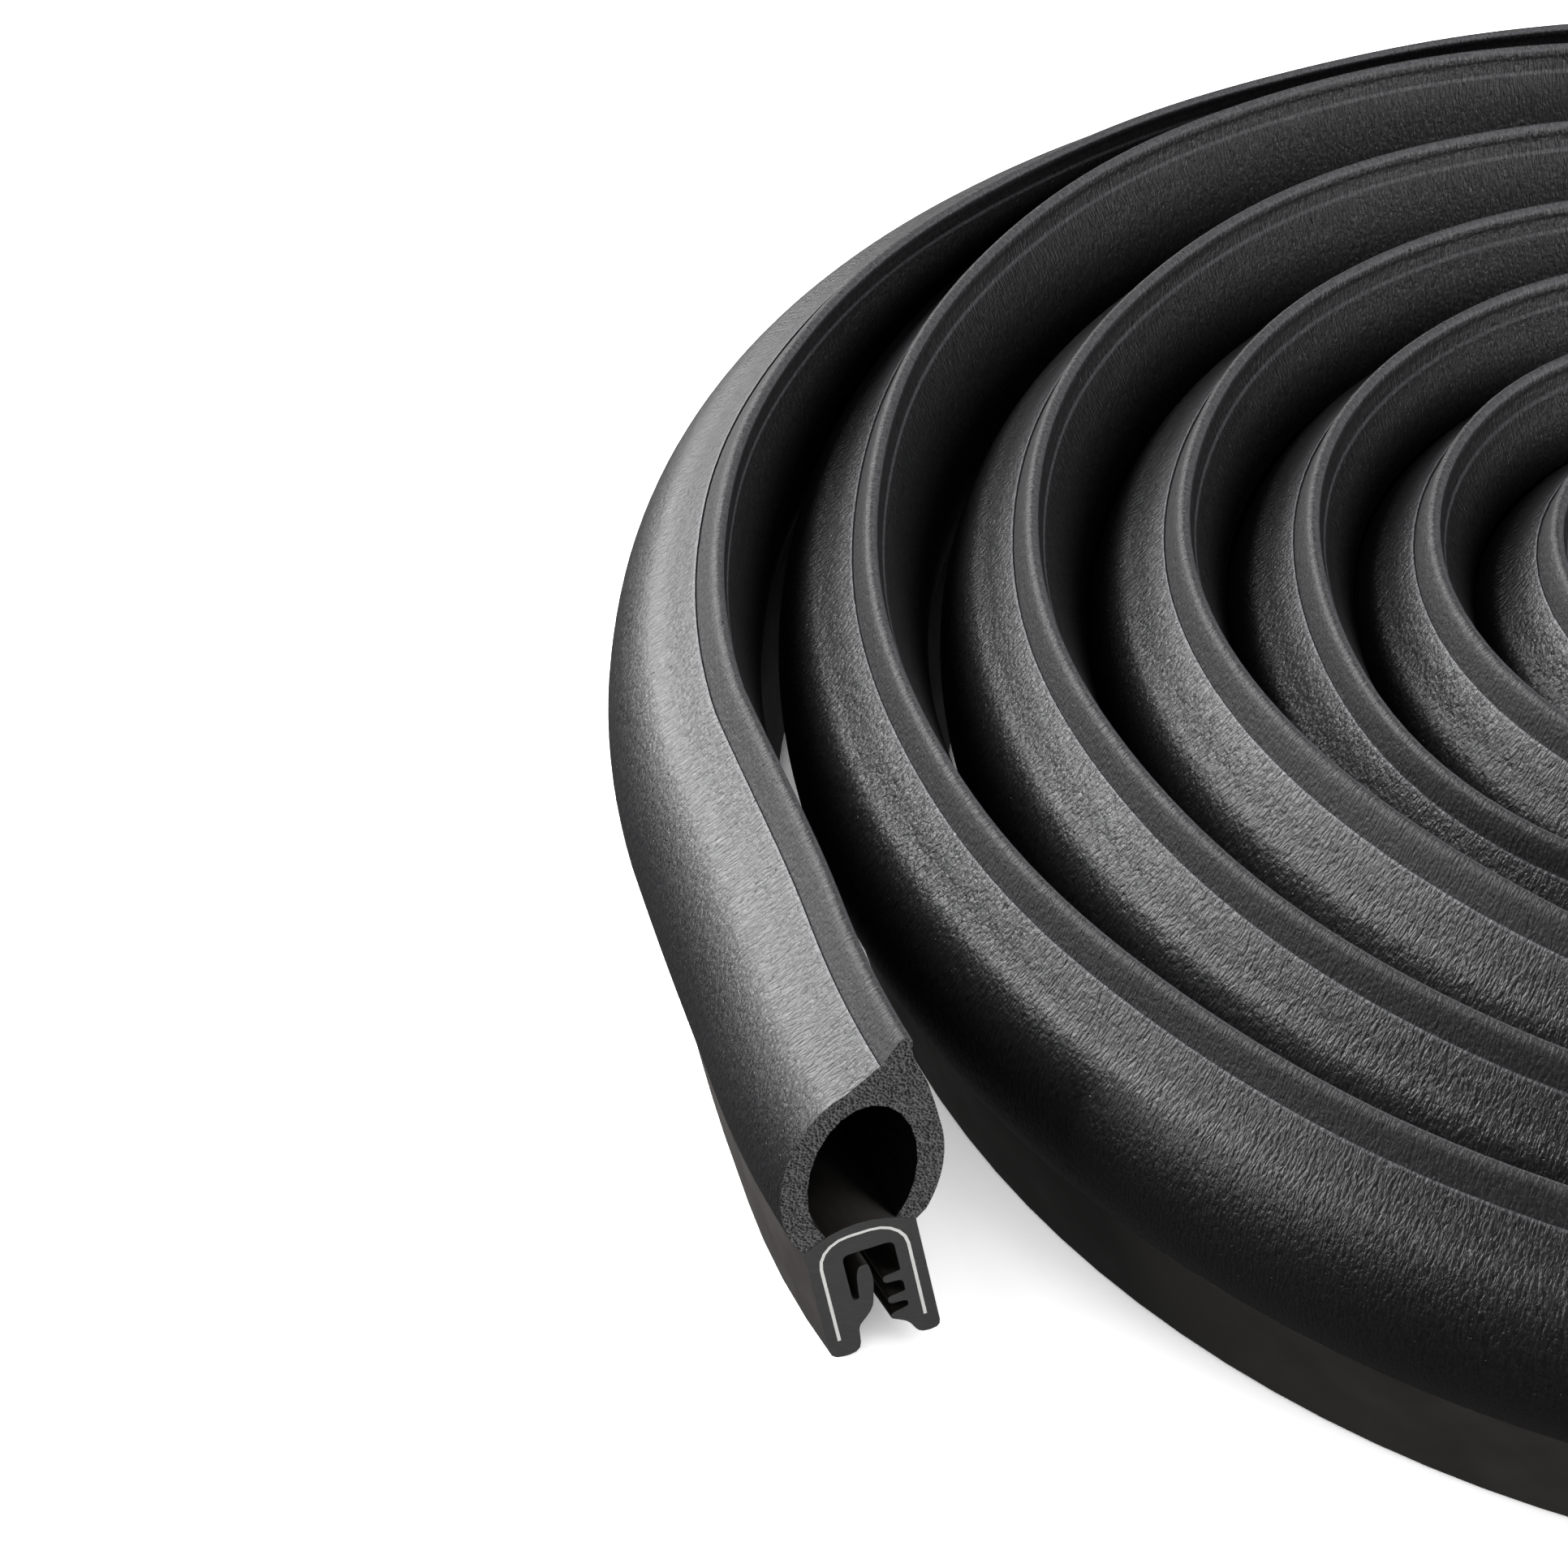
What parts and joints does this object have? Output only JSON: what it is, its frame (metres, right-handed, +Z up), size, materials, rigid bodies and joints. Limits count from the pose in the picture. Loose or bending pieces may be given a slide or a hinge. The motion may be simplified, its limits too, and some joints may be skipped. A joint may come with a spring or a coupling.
{
  "type": "bulb trim seal coil",
  "caption": "Rubber edge trim seal with a hollow sponge bulb and lip on a dense steel-cored U clip, lying as a loose flat coil with one free cut end.",
  "frame": {"origin": "centre of the coil's bounding box, on the floor it lies on", "axes": "+Z up, along the coil's axis; the straight free end runs off at the low X side towards -Y"},
  "size_m": [0.2538, 0.243, 0.0393],
  "materials": {
    "sponge_rubber": "matt, finely pebbled skin",
    "dense_rubber": "smooth satin",
    "steel": "bright cut edge"
  },
  "bodies": {
    "root": {"sponge_bulb": "sponge_rubber", "dense_clip": "dense_rubber", "steel_core": "steel"}
  },
  "joints": []
}
